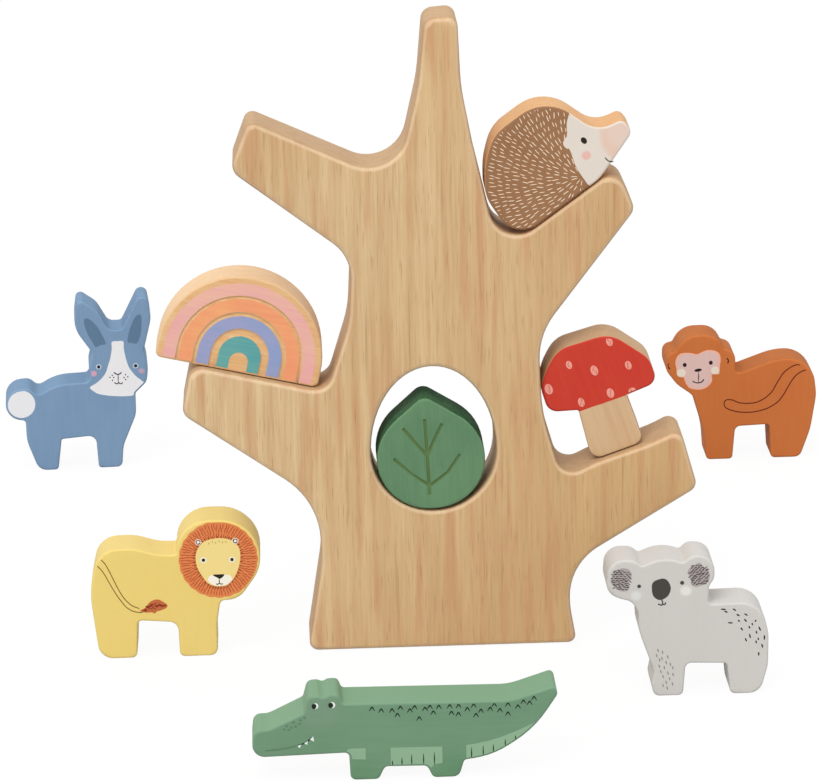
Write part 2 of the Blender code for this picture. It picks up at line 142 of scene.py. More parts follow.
# the sides and end-grain tops take the Edge tone: the end grain's own colour, and in part painted shade on them
side_grain_and_shade = blended(timber, spread(timber, fibre, 0.3, 0.7, 0.0, 0.5), take["Edge"], tone)
tone = blended(timber, spread(timber, face_on, 0.25, 0.60, 0.80, 0.0), tone, side_grain_and_shade)
timber.links.new(blended(timber, painted_rim_highlight, tone, linear(232, 208, 178)), give["Colour"])
timber.links.new(maths(timber, "SUBTRACT", maths(timber, "MULTIPLY", fibre, 0.5), pore_mask), give["Height"])
timber.links.new(fibre, give["Fibre"])


def use_group(tree, group, **sockets):
    """A node of a group, its sockets fed like those of add."""
    node = tree.nodes.new("ShaderNodeGroup")
    node.node_tree = group
    for key, value in sockets.items():
        if isinstance(value, bpy.types.NodeSocket):
            tree.links.new(value, node.inputs[key])
        else:
            node.inputs[key].default_value = value
    return node.outputs


def block_place(tree, place, along_foot=False):
    """A block's own coordinates, with its grain along Z, from its CAD node's coordinates."""
    back = (Matrix.Rotation(math.radians(90), 4, "Y") if along_foot else Matrix.Identity(4)) @ place.inverted()
    return add(tree, "Mapping", {"vector_type": "POINT"}, Vector=add(tree, "TexCoord")["Object"],
               Location=back.to_translation(), Rotation=back.to_euler())[0]


matt = 0.60               # roughness of the oiled wood and of the paint


def start_material(name, specular):
    """A matt material, its node tree and its shader's sockets."""
    material = bpy.data.materials.new(name)
    material.use_nodes = True
    shader = material.node_tree.nodes["Principled BSDF"]
    shader.inputs["Roughness"].default_value = matt
    shader.inputs["Specular IOR Level"].default_value = specular
    return material, material.node_tree, shader.inputs


def bare_wood(name, place, along_foot=False, shade_and_crown_tone=None, **colours):
    """Sanded, oiled wood. Where a tone is given, the tree takes on that darker, warmer colour towards its top, and
    towards its lower right as painted shade.
    """
    material, tree, shader = start_material(name, specular=0.22)
    own = block_place(tree, place, along_foot)
    if shade_and_crown_tone:
        # painted shade: darker and warmer towards the lower right, where the light falls off; the same tone also
        # towards the top
        x, _, z = add(tree, "SeparateXYZ", i0=own)
        painted_lower_right_shade = spread(tree, maths(tree, "MULTIPLY_ADD", z, -0.5, x), -0.115, 0.03)
        crown = spread(tree, z, 0.185, 0.235, 0.0, 0.75)
        colours["Pale"] = blended(tree, maths(tree, "MAXIMUM", painted_lower_right_shade, crown), linear(228, 199, 155), shade_and_crown_tone)
    grain = use_group(tree, timber, Place=own, Facing=add(tree, "TexCoord")["Normal"], **colours)
    tree.links.new(grain["Colour"], shader["Base Color"])
    tree.links.new(spread(tree, grain["Fibre"], 0.3, 0.7, matt - 0.06, matt + 0.08), shader["Roughness"])
    tree.links.new(add(tree, "Bump", Strength=0.25, Distance=0.0002, Height=grain["Height"])[0], shader["Normal"])
    return material


def finish_block(name, material):
    """Gives a CAD block its finish and even shading over its rounded edges."""
    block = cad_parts[name]
    for slot in block.material_slots:
        slot.material = material
    weld = block.modifiers.new("joined_edges", "WELD")
    weld.merge_threshold = 1e-6       # a micrometre: corners that are one and the same
    even = block.modifiers.new("even_shading", "WEIGHTED_NORMAL")
    even.weight = 90                  # the large flat faces lead, so they stay flat


finish_block("tree", bare_wood("oiled_rubberwood", Matrix.Identity(4), shade_and_crown_tone=linear(219, 182, 131)))

# ---------------------------------------------------------------------------
# The rainbow is a half-round block of the same wood, 18 mm thick. Its arches
# are parted by grooves routed 0.5 mm deep in both faces, and four of them are
# painted: pink, orange, blue and teal. It stands on the lower left branch.
millimetre = 0.001
block_half = 9.0          # every block is 18 mm thick
film_sunk = 0.03          # how far a print's film reaches into its block
thin_paler = 26           # of 255: how much paler a coat is where it is thin


def stands_at(x, y, z, lean=0.0, turn=0.0):
    """A block's own frame: its foot's middle, its lean in the face's plane and its turn on the floor."""
    return (Matrix.Translation((x * millimetre, y * millimetre, z * millimetre))
            @ Matrix.Rotation(math.radians(turn), 4, "Z") @ Matrix.Rotation(math.radians(-lean), 4, "Y"))


# Hand-brushed paint over that wood: a little cloudy, the fibres showing
# through, and paler along the rounded rims, as rubbed wear and as a painted highlight.
# Where given, its sides and rims take another colour, which is painted light and shade.
brushed, take, give = open_group(
    "brushed_paint",
    (("Place", "Vector", (0, 0, 0)), ("Facing", "Vector", (0, 0, 0)), ("Paint", "Color", (1, 1, 1, 1)),
     ("Edge", "Color", (1, 1, 1, 1)), ("Thin", "Color", (1, 1, 1, 1)), ("Wear", "Float", 0.5),
     ("Show", "Float", 0.5)),
    (("Colour", "Color"), ("Height", "Float"), ("Rub_And_Highlight", "Float")))
strands = noise(brushed, take["Place"], 0.05, 900.0, Detail=3.0)
clouds = noise(brushed, take["Place"], 0.6, 70.0, Detail=3.0)
specks = add(brushed, "TexNoise", Vector=take["Place"], Scale=2600.0, Detail=2.0)[0]
face_on = maths(brushed, "ABSOLUTE", add(brushed, "SeparateXYZ", i0=take["Facing"])[1])
rim = maths(brushed, "MULTIPLY", spread(brushed, face_on, 0.05, 0.40),
            spread(brushed, face_on, 0.80, 0.985, 1.0, 0.0))
# the rims are paler where rubbed: wear, and a painted highlight
rub_and_highlight = maths(brushed, "MULTIPLY", rim, take["Wear"])
rub_and_highlight = maths(brushed, "MULTIPLY", rub_and_highlight, spread(brushed, clouds, 0.36, 0.62, 0.35, 1.0))
thin = maths(brushed, "ADD", spread(brushed, strands, 0.32, 0.70, 0.0, 0.30),
             spread(brushed, clouds, 0.36, 0.66, -0.05, 0.30))
thin = maths(brushed, "ADD", thin, spread(brushed, specks, 0.62, 0.74, 0.0, 0.22))
thin = maths(brushed, "MULTIPLY", thin, take["Show"])
# the sides and rims take the Edge colour where one is given: painted light and shade on them
coat_colour = blended(brushed, spread(brushed, face_on, 0.30, 0.75, 1.0, 0.0), take["Paint"], take["Edge"])
brushed.links.new(blended(brushed, maths(brushed, "ADD", thin, rub_and_highlight), coat_colour, take["Thin"]), give["Colour"])
brushed.links.new(maths(brushed, "ADD", strands, maths(brushed, "MULTIPLY", specks, 0.4)), give["Height"])
brushed.links.new(rub_and_highlight, give["Rub_And_Highlight"])

# A print that fades out at its edge, such as a blushing cheek.
soft_spot, take, give = open_group(
    "soft_spot",
    (("Place", "Vector", (0, 0, 0)), ("Middle", "Vector", (0, 0, 0)), ("Per Radius", "Vector", (1, 0, 1)),
     ("Edge", "Float", 0.3)),
    (("Mask", "Float"),))
apart = add(soft_spot, "VectorMath", {"operation": "SUBTRACT"}, i0=take["Place"], i1=take["Middle"])[0]
reach = add(soft_spot, "VectorMath", {"operation": "LENGTH"}, i0=scaled(soft_spot, apart, take["Per Radius"]))[1]
inner, outer = (maths(soft_spot, how, 1.0, take["Edge"]) for how in ("SUBTRACT", "ADD"))
fade = add(soft_spot, "MapRange", {"interpolation_type": "SMOOTHSTEP"}, Value=reach, From_Min=inner, From_Max=outer,
           To_Min=1.0, To_Max=0.0)[0]
soft_spot.links.new(fade, give["Mask"])


def paint(name, colour, thin=None, wear_and_highlight=0.0, show=0.5, spots=(), place=None, along_foot=False, bump=0.12,
          edge=None, specular=0.2):
    """Matt paint or print, with another colour on its sides and rims where given, which is painted light and shade on
    them.

    Thin is its colour where the coat is thin, show is how much of that shows, and the wear given is how
    much paler it is at the rims, as rubbed wear and as a painted highlight. Spots are (x, z, radius, radius,
    softness, strength, colour) in the block's millimetres.
    """
    material, tree, shader = start_material(name, specular)
    coordinates = add(tree, "TexCoord")
    own = block_place(tree, place) if place else coordinates["Object"]
    along = block_place(tree, place, True) if along_foot else own
    top = linear(*colour)
    for x, z, wide, high, softness, strength, spot_colour in spots:
        sockets = {"Place": own, "Middle": (x * millimetre, 0, z * millimetre), "Edge": softness,
                   "Per Radius": (1000 / wide, 0, 1000 / high)}
        mask = use_group(tree, soft_spot, **sockets)["Mask"]
        top = blended(tree, maths(tree, "MULTIPLY", mask, strength), top, linear(*spot_colour))
    thin = thin or tuple(min(255, v + thin_paler) for v in colour)
    coat = use_group(tree, brushed, Place=along, Facing=coordinates["Normal"], Paint=top,
                     Edge=linear(*edge) if edge else top, Thin=linear(*thin), Wear=wear_and_highlight, Show=show)
    tree.links.new(coat["Colour"], shader["Base Color"])
    tree.links.new(spread(tree, coat["Rub_And_Highlight"], 0.0, 1.0, matt, matt + 0.12), shader["Roughness"])
    tree.links.new(add(tree, "Bump", Strength=bump, Distance=0.00015, Height=coat["Height"])[0], shader["Normal"])
    return material


def new_object(name, data):
    """An object in the scene that shows a mesh, a light or a camera."""
    thing = bpy.data.objects.new(name, data)
    bpy.context.scene.collection.objects.link(thing)
    return thing


def print_on(body, name, place, shapes, material, less=(), face=None, proud=0.04):
    """Lays a coat of print on both faces of a block.

    Shapes are outlines in the block's own millimetres. What lies in one of them, in none of less,
    and on the flat face where that is given, gets the coat; it is a closed film, proud by that much.
    """
    corners, outlines, kind = [], [], []
    for what, group in (("shape", shapes), ("less", less), ("face", face or ())):
        for outline in group:
            area = sum(a[0] * b[1] - b[0] * a[1] for a, b in zip(outline, outline[1:] + outline[:1]))
            start = len(corners)
            corners += [Vector(p) for p in (outline if area > 0 else outline[::-1])]
            outlines.append(list(range(start, len(corners))))
            kind.append(what)
    points, _, faces, _, _, sources = delaunay_2d_cdt(corners, [], outlines, 1, 1e-5)
    kept = []
    for corners_of, source in zip(faces, sources):
        kinds = {kind[s] for s in source}
        if "shape" in kinds and "less" not in kinds and (face is None or "face" in kinds):
            kept.append(tuple(corners_of))
    border = {}
    for triangle in kept:
        for a, b in zip(triangle, triangle[1:] + triangle[:1]):
            if border.pop((b, a), None) is None:
                border[(a, b)] = True
    used = sorted({v for triangle in kept for v in triangle})
    at = {v: i for i, v in enumerate(used)}
    vertices, polygons = [], []
    for side in (-1, 1):
        first, count = len(vertices), len(used)
        for y in (side * (block_half + proud), side * (block_half - film_sunk)):
            vertices += [(points[v][0] * millimetre, y * millimetre, points[v][1] * millimetre) for v in used]
        for t in kept:
            outer = [first + at[v] for v in t]
            polygons.append(outer if side < 0 else outer[::-1])
            polygons.append([v + count for v in (outer[::-1] if side < 0 else outer)])
        for a, b in border:
            a, b = first + at[a], first + at[b]
            polygons.append([b, a, a + count, b + count] if side < 0 else [a, b, b + count, a + count])
    mesh = bpy.data.meshes.new(name)
    mesh.from_pydata(vertices, [], polygons)
    mesh.materials.append(material)
    piece = new_object(name, mesh)
    piece.matrix_world = place
    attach(piece, body)


rainbow_at = stands_at(-79.07, 0, 114.1, lean=-13.06)
rainbow_leg = 6.4         # the arches' straight legs, below the half rounds
rainbow_foot = 0.95       # where their paint ends, above the rounded foot


def arch(outer, inner, inner_leg):
    """One arch of the rainbow as an outline."""
    def sweep(radius, leg):
        turns = [math.pi * i / 40 for i in range(41)]
        round_part = [(radius * math.cos(a), leg + radius * math.sin(a)) for a in turns]
        return [(radius, rainbow_foot)] + round_part + [(-radius, rainbow_foot)]
    return sweep(outer, rainbow_leg) + sweep(inner, inner_leg)[::-1]


finish_block("rainbow",
             bare_wood("rainbow_wood", rainbow_at, along_foot=True, Pale=linear(238, 200, 150),
                       Deep=linear(222, 168, 110), Streak=linear(232, 168, 108), Edge=linear(236, 206, 170),
                       Figure=1.0, Pores=0.22))
for name, outer, inner, inner_leg, colour, thin in (
        ("pink", 29.2, 24.35, rainbow_leg, (236, 170, 170), (242, 198, 160)),
        ("orange", 23.05, 17.95, rainbow_leg, (242, 152, 112), (250, 184, 122)),
        ("blue", 16.15, 11.25, rainbow_leg, (140, 160, 202), (172, 164, 200)),
        ("teal", 8.15, 3.6, 4.4, (84, 158, 164), (118, 180, 166))):
    print_on("rainbow", "rainbow_" + name, rainbow_at, [arch(outer, inner, inner_leg)],
             paint(name + "_arch_paint", colour, thin, show=1.2, place=Matrix.Identity(4), along_foot=True))

# ---------------------------------------------------------------------------
# The hedgehog is a block with bare, honey-coloured edges. Its faces are
# printed: brown spines with cream dashes, a cream face with a peach nose, a
# black eye, a smile and a pink cheek. It sits in the upper right fork.


def curve(points, closed=True, steps=5):
    """Rounds a drawn outline or line: a smooth curve (Catmull-Rom) through its points."""
    count, out = len(points), []
    for i in range(count if closed else count - 1):
        p = [points[(i + k) % count] if closed else points[max(0, min(count - 1, i + k))] for k in (-1, 0, 1, 2)]
        for s in range(steps):
            t = s / steps
            out.append(tuple(0.5 * (2 * b + (c - a) * t + (2 * a - 5 * b + 4 * c - d) * t * t
                                    + (3 * b - a - 3 * c + d) * t ** 3) for a, b, c, d in zip(*p)))
    return out if closed else out + [tuple(points[-1])]


def line(points, width, ends=0.35):
    """A drawn line as an outline, thinner at its ends."""
    left, right, last = [], [], len(points) - 1
    for i, p in enumerate(points):
        a, b = points[max(0, i - 1)], points[min(last, i + 1)]
        length = math.hypot(b[0] - a[0], b[1] - a[1]) or 1.0
        half = width / 2 * (ends if i in (0, last) else 1.0)
        nx, nz = -(b[1] - a[1]) / length * half, (b[0] - a[0]) / length * half
        left.append((p[0] + nx, p[1] + nz))
        right.append((p[0] - nx, p[1] - nz))
    return left + right[::-1]


def stroke(points, width, steps=5):
    """A drawn line that is smooth through its points, as an outline."""
    return line(curve(points, closed=False, steps=steps), width)


def oval(x, z, wide, high, turn=0.0, count=28):
    """An oval by its middle and its two radii, turned by some degrees."""
    c, s = math.cos(math.radians(turn)), math.sin(math.radians(turn))
    return [(x + wide * math.cos(a) * c - high * math.sin(a) * s, z + wide * math.cos(a) * s + high * math.sin(a) * c)
            for a in (2 * math.pi * i / count for i in range(count))]


def around(middle, radius, angle):
    """The point at some distance from a middle, at an angle in degrees."""
    return middle[0] + radius * math.cos(math.radians(angle)), middle[1] + radius * math.sin(math.radians(angle))


def dash(x, z, length, direction, width):
    """A short brush mark, pointed at both ends."""
    dx, dz = math.cos(math.radians(direction)) * length / 2, math.sin(math.radians(direction)) * length / 2
    belly = 0.45          # the part of its half length that has the full width
    return line([(x - dx, z - dz), (x - dx * belly, z - dz * belly), (x + dx * belly, z + dz * belly),
                 (x + dx, z + dz)],
                width)


flat_within = 0.01        # millimetres off the face's plane that still count as flat


def flat_face(name, place):
    """The outline of a block's flat front in its own millimetres, for prints that reach its edge."""
    mesh, back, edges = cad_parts[name].data, place.inverted(), {}
    for polygon in mesh.polygons:
        corners = [back @ mesh.vertices[v].co for v in polygon.vertices]
        if all(abs(p.y / millimetre + block_half) < flat_within for p in corners):
            keys = [(round(p.x * 1e5), round(p.z * 1e5)) for p in corners]      # hundredths of a millimetre
            for a, b in zip(keys, keys[1:] + keys[:1]):
                if edges.pop((b, a), None) is None:
                    edges[(a, b)] = True
    after, loops = {a: b for a, b in edges}, []
    while after:
        start, here = next(iter(after.items()))
        loop = [start]
        del after[start]
        while here != start and here in after:
            loop.append(here)
            here = after.pop(here)
        loops.append([(x / 100, z / 100) for x, z in loop])
    return loops


def printer(body, place):
    """A block's own print_on, which clips a print to the flat face unless told not to."""
    face = flat_face(body, place)

    def print_block(name, shapes, material, less=(), clipped=True, proud=0.04):
        print_on(body, body + "_" + name, place, shapes, material, less, face if clipped else None, proud)
    return print_block


def laid_over(material, share, colour):
    """Lays one more colour over a finished material, by a mask."""
    base = material.node_tree.nodes["Principled BSDF"].inputs["Base Color"]
    material.node_tree.links.new(blended(material.node_tree, share, base.links[0].from_socket, linear(*colour)), base)


rim_deep = 0.5            # how far a print runs over the rounded rim, in depth


def print_over_rim(material, place, per_x, per_z, split, colours):
    """Carries a face's print over its rounded rim.

    The first colour goes where per_x * x + per_z * z is under split, the second beyond it.
    """
    tree = material.node_tree
    x, y, z = add(tree, "SeparateXYZ", i0=block_place(tree, place))
    rim = maths(tree, "GREATER_THAN", maths(tree, "ABSOLUTE", y), (block_half - rim_deep) * millimetre)
    along = maths(tree, "MULTIPLY_ADD", x, per_x, maths(tree, "MULTIPLY", z, per_z))
    beyond = maths(tree, "GREATER_THAN", along, split * millimetre)
    shares = maths(tree, "SUBTRACT", rim, beyond, clamp=True), maths(tree, "MULTIPLY", rim, beyond)
    for share, colour in zip(shares, colours):
        if colour:
            laid_over(material, share, colour)


hedgehog_at = stands_at(36.44, -3.5, 169.27, lean=36.26)
print_hedgehog = printer("hedgehog", hedgehog_at)
hedgehog_wood = bare_wood("hedgehog_wood", hedgehog_at, along_foot=True, Pale=linear(232, 182, 124),
                          Deep=linear(206, 148, 92), Streak=linear(214, 150, 96), Edge=linear(222, 174, 124),
                          Figure=0.8, Pores=0.08)
print_over_rim(hedgehog_wood, hedgehog_at, 1.0, -0.39, 25.9, ((154, 111, 80), (228, 214, 202)))
finish_block("hedgehog", hedgehog_wood)
face_line = curve([(36.7, 27.6), (33.9, 25.3), (32.4, 23.2), (31.1, 21.3), (29.8, 20.8), (28.2, 20.0), (27.7, 18.6),
                   (28.0, 17.2), (28.5, 16.8), (28.3, 15.2), (27.4, 12.5), (26.6, 10.0), (26.1, 6.0), (25.9, 0.0)],
                  closed=False)
spine_zone = [(36.7, 60.0)] + face_line + [(25.9, -20.0), (-60.0, -20.0), (-60.0, 60.0)]
cream_zone = [(36.7, 60.0)] + face_line + [(25.9, -20.0), (90.0, -20.0), (90.0, 60.0)]
print_hedgehog("spines", [spine_zone], paint("spine_brown", (152, 109, 75), (176, 132, 94), show=0.7))
print_hedgehog("head", [cream_zone],
               paint("head_cream", (228, 217, 206), (236, 224, 208), show=0.6,
                     spots=((48.0, 6.5, 9.0, 11.0, 0.16, 1.0, (230, 192, 170)),
                            (48.2, 9.5, 5.5, 7.0, 0.5, 0.7, (232, 206, 194)),
                            (32.2, 10.6, 1.7, 1.7, 0.35, 0.9, (236, 170, 160)))))
spines_from = (26, 6)     # the spines fan out from here, at the foot of the face
dice = random.Random(7)
spines = []
for ring in range(1, 23):
    away = ring * 3.1
    count = max(1, int(math.radians(240) * away / 1.6))
    for i in range(count):
        angle = 20 + 240 * (i + 0.5 * (ring % 2) + dice.uniform(-0.22, 0.22)) / count
        reach = away + dice.uniform(-0.6, 0.6)
        spines.append(dash(*around(spines_from, reach, angle), dice.uniform(1.6, 2.8),
                           angle - 12 + dice.uniform(-12, 12), dice.uniform(0.26, 0.34)))
print_hedgehog("spine_dashes", spines, paint("dash_cream", (246, 220, 194), show=0.3), less=[cream_zone],
               proud=0.07)
print_hedgehog("eye_and_smile",
               [oval(34.9, 15.8, 1.05, 1.4), stroke([(37.3, 5.6), (37.5, 3.9), (38.2, 2.8), (39.0, 2.4)], 0.4)],
               paint("eye_black", (34, 28, 26), show=0.15), clipped=False, proud=0.07)

# ---------------------------------------------------------------------------
# The mushroom is a block with a bare stem and bare edges. The faces of its
# cap are painted red and printed with pink dots of short strokes. It leans in
# the fork of the lower right branch.
mushroom_at = stands_at(68.39, 0, 77.78, lean=19.21)
print_mushroom = printer("mushroom", mushroom_at)
mushroom_wood = bare_wood("mushroom_wood", mushroom_at, Pale=linear(220, 187, 147), Deep=linear(204, 165, 122),
                          Streak=linear(208, 160, 120), Edge=linear(182, 142, 102), Figure=0.7, Pores=0.06)
print_over_rim(mushroom_wood, mushroom_at, 0.0, 1.0, 20.6, (None, (203, 58, 43)))
finish_block("mushroom", mushroom_wood)
cap_zone = [(-60, 20.95), (-8.8, 20.9), (0, 20.5), (10, 20.4), (60, 20.2), (60, 90), (-60, 90)]
stem_zone = [(-60, 20.9), (60, 20.3), (60, -20), (-60, -20)]
dot_half = 0.47           # a dot's radius, as a part of its width or height
cap_dots = ((11.3, 43.0, 2.6, 3.8), (-6.4, 39.8, 2.4, 3.6), (2.0, 34.2, 3.0, 4.4), (15.0, 31.5, 2.6, 3.8),
            (-17.0, 33.4, 3.2, 4.6), (4.8, 23.4, 2.9, 4.2), (-7.0, 23.9, 2.6, 4.0), (0.1, 47.3, 2.0, 2.0),
            (21.4, 35.8, 2.0, 2.6), (13.0, 21.0, 3.2, 3.2))
print_mushroom("cap_paint", [cap_zone], paint("cap_red", (203, 58, 43), (214, 84, 60), show=0.6))
print_mushroom("dots", [oval(x, z, wide * dot_half, high * dot_half) for x, z, wide, high in cap_dots],
               paint("dot_pink", (238, 156, 140), (248, 190, 174), show=0.8), less=[stem_zone], proud=0.07)
dice = random.Random(11)
hatch = [dash(x + dice.uniform(-0.18, 0.18) * wide, z + (k - 1.5) * 0.18 * high, wide * 0.38,
              62 + dice.uniform(-14, 14), 0.24) for x, z, wide, high in cap_dots for k in range(4)]
print_mushroom("dot_strokes", hatch, paint("dot_stroke_red", (212, 92, 78), show=0.3), less=[stem_zone], proud=0.10)

# ---------------------------------------------------------------------------
# The leaf is a green-stained block with three lobes. Its veins are cut 0.5 mm
# deep in both faces and are more olive. It is pushed into the opening of
# the trunk and can be pushed out of either side.
leaf_at = stands_at(-3.7, -3.5, 57.55, lean=3.0)
# its sides are a much darker green, which is painted shade from the trunk's opening
leaf_paint = paint("leaf_green", (99, 137, 102), (122, 156, 118), wear_and_highlight=0.3, show=0.8, place=leaf_at, bump=0.3,
                   edge=(18, 80, 42), specular=0.03)
vein_starts = 0.3         # millimetres under the face
tree = leaf_paint.node_tree
depth = maths(tree, "ABSOLUTE", add(tree, "SeparateXYZ", i0=block_place(tree, leaf_at))[1])
face_on = maths(tree, "ABSOLUTE", add(tree, "SeparateXYZ", i0=add(tree, "TexCoord")["Normal"])[1])
face_on = maths(tree, "GREATER_THAN", face_on, 0.95)
vein_floor = maths(tree, "LESS_THAN", depth, (block_half - vein_starts) * millimetre)
laid_over(leaf_paint, maths(tree, "MULTIPLY", vein_floor, face_on), (102, 128, 80))
finish_block("leaf", leaf_paint)

# ---------------------------------------------------------------------------
# The rabbit is a blue-painted block with two long ears. A white blaze, darker
# inner ears, small eyes, a nose line, pink cheeks and a white tail are printed
# on it. It stands by itself behind the tree.
rabbit_at = stands_at(-154.7, 239.8, 0, turn=3.0)
rabbit_eyes = ((10.8, 47.5), (27.3, 47.3))
print_rabbit = printer("rabbit", rabbit_at)
# its sides are a darker blue, which is painted shade
finish_block("rabbit",
             paint("rabbit_blue", (122, 153, 186), (146, 174, 202), wear_and_highlight=0.3, show=0.5, place=rabbit_at,
                   edge=(108, 140, 172)))
print_rabbit("blaze_and_tail",
             [curve([(17.1, 58.8), (19.7, 59.1), (22.2, 58.8), (22.3, 56.0), (22.7, 53.0), (23.3, 50.0),
                     (24.2, 47.0), (25.5, 44.7), (27.2, 42.5), (29.5, 40.5), (32.0, 38.6), (36.0, 37.5),
                     (36.0, 34.0), (27.0, 33.7), (24.0, 33.3), (19.0, 33.4), (14.0, 34.0), (10.0, 35.0),
                     (8.0, 36.3), (6.5, 38.1), (9.5, 40.0), (12.3, 42.5), (14.0, 45.0), (15.0, 48.0), (15.9, 50.5),
                     (16.5, 53.0), (17.0, 56.0)]),
              oval(-24.4, 31.6, 6.2, 6.4, count=48)],
             paint("blaze_white", (240, 240, 243), (230, 232, 238), show=0.5))
print_rabbit("inner_ears",
             [curve([(5.2, 69.5), (6.5, 70.2), (8.5, 69.0), (11.0, 66.0), (13.0, 62.0), (14.4, 58.2), (12.0, 57.6),
                     (9.8, 56.8), (8.3, 59.5), (6.5, 63.0), (5.4, 66.5)]),
              curve([(29.8, 71.0), (30.7, 70.0), (30.6, 66.0), (30.0, 61.5), (28.2, 57.8), (26.0, 58.0),
                     (24.2, 58.5), (24.6, 62.0), (26.0, 66.0), (27.8, 69.7)])],
             paint("inner_ear_blue", (93, 122, 152), (112, 140, 168)))
print_rabbit("cheeks", [oval(8.3, 44.5, 2.3, 2.1), oval(29.8, 44.8, 2.3, 2.1)],
             paint("cheek_pink", (122, 153, 186), (146, 174, 202), show=0.3,
                   spots=((8.3, 44.5, 1.5, 1.25, 0.4, 1.0, (222, 166, 190)),
                          (29.8, 44.8, 1.4, 1.15, 0.4, 0.7, (212, 166, 182)))),
             proud=0.05)
print_rabbit("eye_rings", [oval(x, z, 1.2, 1.2) for x, z in rabbit_eyes], paint("eye_ring_pale", (206, 218, 230)),
             proud=0.07)
whiskers = ((16.7, 43.3), (17.3, 42.3), (16.7, 41.0), (15.6, 42.4), (22.6, 43.4), (21.9, 42.1), (22.6, 41.1),
            (23.6, 42.3))
print_rabbit("eyes_and_nose",
             [oval(*rabbit_eyes[0], 0.75, 0.8), oval(*rabbit_eyes[1], 0.8, 0.8),
              stroke([(17.4, 44.7), (18.3, 44.0), (19.3, 43.6), (20.1, 43.9), (20.9, 44.5)], 0.5),
              line([(19.3, 43.6), (19.3, 41.8), (19.3, 40.0)], 0.42),
              stroke([(17.5, 40.0), (18.1, 39.4), (18.9, 39.3), (19.4, 39.9), (19.9, 39.3), (20.7, 39.3),
                      (21.2, 39.9)],
                     0.42)] + [oval(x, z, 0.3, 0.3, count=10) for x, z in whiskers],
             paint("face_line_dark", (26, 24, 30), show=0.15), clipped=False, proud=0.10)

# ---------------------------------------------------------------------------
# The monkey is a block painted rust brown. A pink face with a peach edge, its
# eyes, nose, smile and cheeks, the curls of its ears and the outline of a tail
# are printed on it. It stands by itself behind the tree.
monkey_at = stands_at(148.6, 226.2, 0)
print_monkey = printer("monkey", monkey_at)
finish_block("monkey",
             paint("monkey_rust", (202, 114, 61), (212, 130, 76), wear_and_highlight=0.1, show=0.6, place=monkey_at,
                   edge=(178, 103, 53), specular=0.05))
patch = [(-34.7, 46), (-34, 48.5), (-32.5, 50), (-30, 50.4), (-27, 50.1), (-25, 49.6), (-22.5, 50.7), (-20, 51.4),
         (-17, 51), (-15, 49.5), (-14.4, 47), (-14.7, 44), (-14.9, 41), (-15.3, 40), (-18.2, 39.9), (-18.2, 38),
         (-18.5, 36.3), (-20, 34.5), (-22, 33.4), (-24.5, 33.1), (-28, 33.8), (-29.6, 35.5), (-30.5, 37.5),
         (-31, 38.9), (-33.2, 39.4), (-34, 40.5), (-34.2, 43)]
print_monkey("face_edge", [curve(patch)], paint("face_edge_peach", (243, 180, 155), (246, 196, 170)))
patch_middle, inset = (-24.6, 42.6), (0.925, 0.915)
inner_patch = [tuple(m + (p - m) * share for p, m, share in zip(point, patch_middle, inset)) for point in patch]
print_monkey("face_patch", [curve(inner_patch)], paint("face_pink", (222, 187, 181), (232, 202, 194), show=0.7),
             proud=0.07)
print_monkey("cheeks", [oval(-32.0, 41.1, 2.0, 1.9), oval(-16.9, 41.9, 1.8, 1.8)],
             paint("cheek_cream", (234, 223, 203), (236, 220, 206)), proud=0.09)
print_monkey("eyes_nose_and_smile",
             [oval(-30.5, 44.8, 0.85, 0.95), oval(-18.8, 45.5, 0.85, 0.95), oval(-24.5, 42.2, 1.65, 0.7, turn=8),
              line([(-24.3, 41.4), (-24.3, 39.0), (-24.3, 36.5)], 0.42),
              stroke([(-27, 37.2), (-25.7, 36.5), (-24.2, 36.3), (-22.7, 36.8), (-21.9, 37.9)], 0.5)],
             paint("monkey_dark", (32, 18, 15), show=0.15), clipped=False, proud=0.11)
print_monkey("ears_and_tail",
             [stroke([(-37.9, 45.7), (-38.0, 44.4), (-37.6, 43.6), (-36.9, 43.3)], 0.6),
              stroke([(-11.7, 47.4), (-10.9, 46.3), (-11.3, 44.9)], 0.6),
              stroke([(21.2, 43.2), (19.5, 43.4), (17, 42.3), (14, 40), (12, 37), (10.3, 34), (8.7, 31.2),
                      (6, 28.6), (3, 26.9), (0, 26.1), (-4, 26.1), (-7, 26.8), (-9, 27.8), (-11.5, 28), (-12.6, 27),
                      (-12.7, 25.5), (-12, 24.3), (-10, 23.2), (-7, 22.3), (-4, 21.9), (0, 21.9), (4, 22.6),
                      (7, 23.6), (10, 25.3), (12, 27), (14, 29.8), (15.5, 32.5), (17.5, 36), (19.5, 38.5),
                      (22, 40.3), (24, 40.8)],
                     0.46, steps=4)],
             paint("tail_line_brown", (96, 30, 8), show=0.1), proud=0.06)

# ---------------------------------------------------------------------------
# The lion is a block painted straw yellow. An orange mane drawn in short
# strokes, a yellow face with a white muzzle, and a thin tail with a tuft are
# printed on it. It stands by itself, left of the tree.
lion_at = stands_at(-112.4, -4.8, 0)
lion_eyes = ((18.3, 39.8), (29.4, 39.7))
lion_ears = ((16.5, 47.2), (30.9, 47.3))
print_lion = printer("lion", lion_at)
finish_block("lion",
             paint("lion_straw", (239, 210, 120), (242, 219, 144), wear_and_highlight=0.15, show=0.5, place=lion_at,
                   edge=(228, 202, 122)))
mane_middle = (24.1, 39.8)
head = curve([(24.0, 48.6), (20.0, 47.9), (17.5, 46.3), (15.8, 43.5), (15.3, 40.5), (15.8, 37.0), (17.3, 33.8),
              (19.5, 30.5), (22.0, 29.1), (24.3, 28.8), (27.0, 29.2), (29.5, 31.5), (31.2, 34.5), (32.3, 38.0),
              (32.7, 42.0), (32.0, 45.0), (30.0, 47.2), (27.5, 48.3)])
